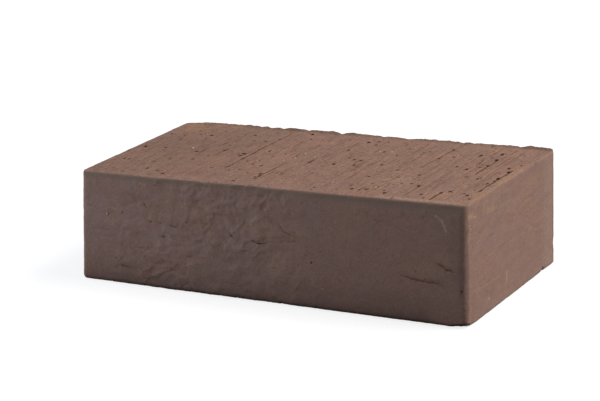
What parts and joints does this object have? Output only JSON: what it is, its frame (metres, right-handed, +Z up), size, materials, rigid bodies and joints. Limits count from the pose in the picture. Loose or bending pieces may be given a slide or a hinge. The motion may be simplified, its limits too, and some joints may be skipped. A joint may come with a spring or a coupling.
{
  "type": "solid facing brick",
  "caption": "Solid wire-cut fired clay brick: a plain brown rectangular block with rounded upright arrises, drag-marked bed faces and small hard grains showing in its faces.",
  "frame": {"origin": "centre of the lower bed face, the face the brick rests on", "axes": "+X along the length, +Y along the width from the front stretcher face to the back one, +Z up through the two bed faces"},
  "size_m": [0.25, 0.12, 0.065],
  "materials": {
    "fired_clay": "matt, unglazed, dragged and slightly porous",
    "cream_grog": "matt, chalky",
    "ochre_grog": "matt, earthy",
    "quartz": "dull, slightly glassy",
    "ironstone": "matt, nearly black"
  },
  "bodies": {
    "root": {"clay_body": "fired_clay", "cream_grog_grains": "cream_grog", "ochre_grog_grains": "ochre_grog", "quartz_grains": "quartz", "ironstone_grains": "ironstone"}
  },
  "joints": []
}
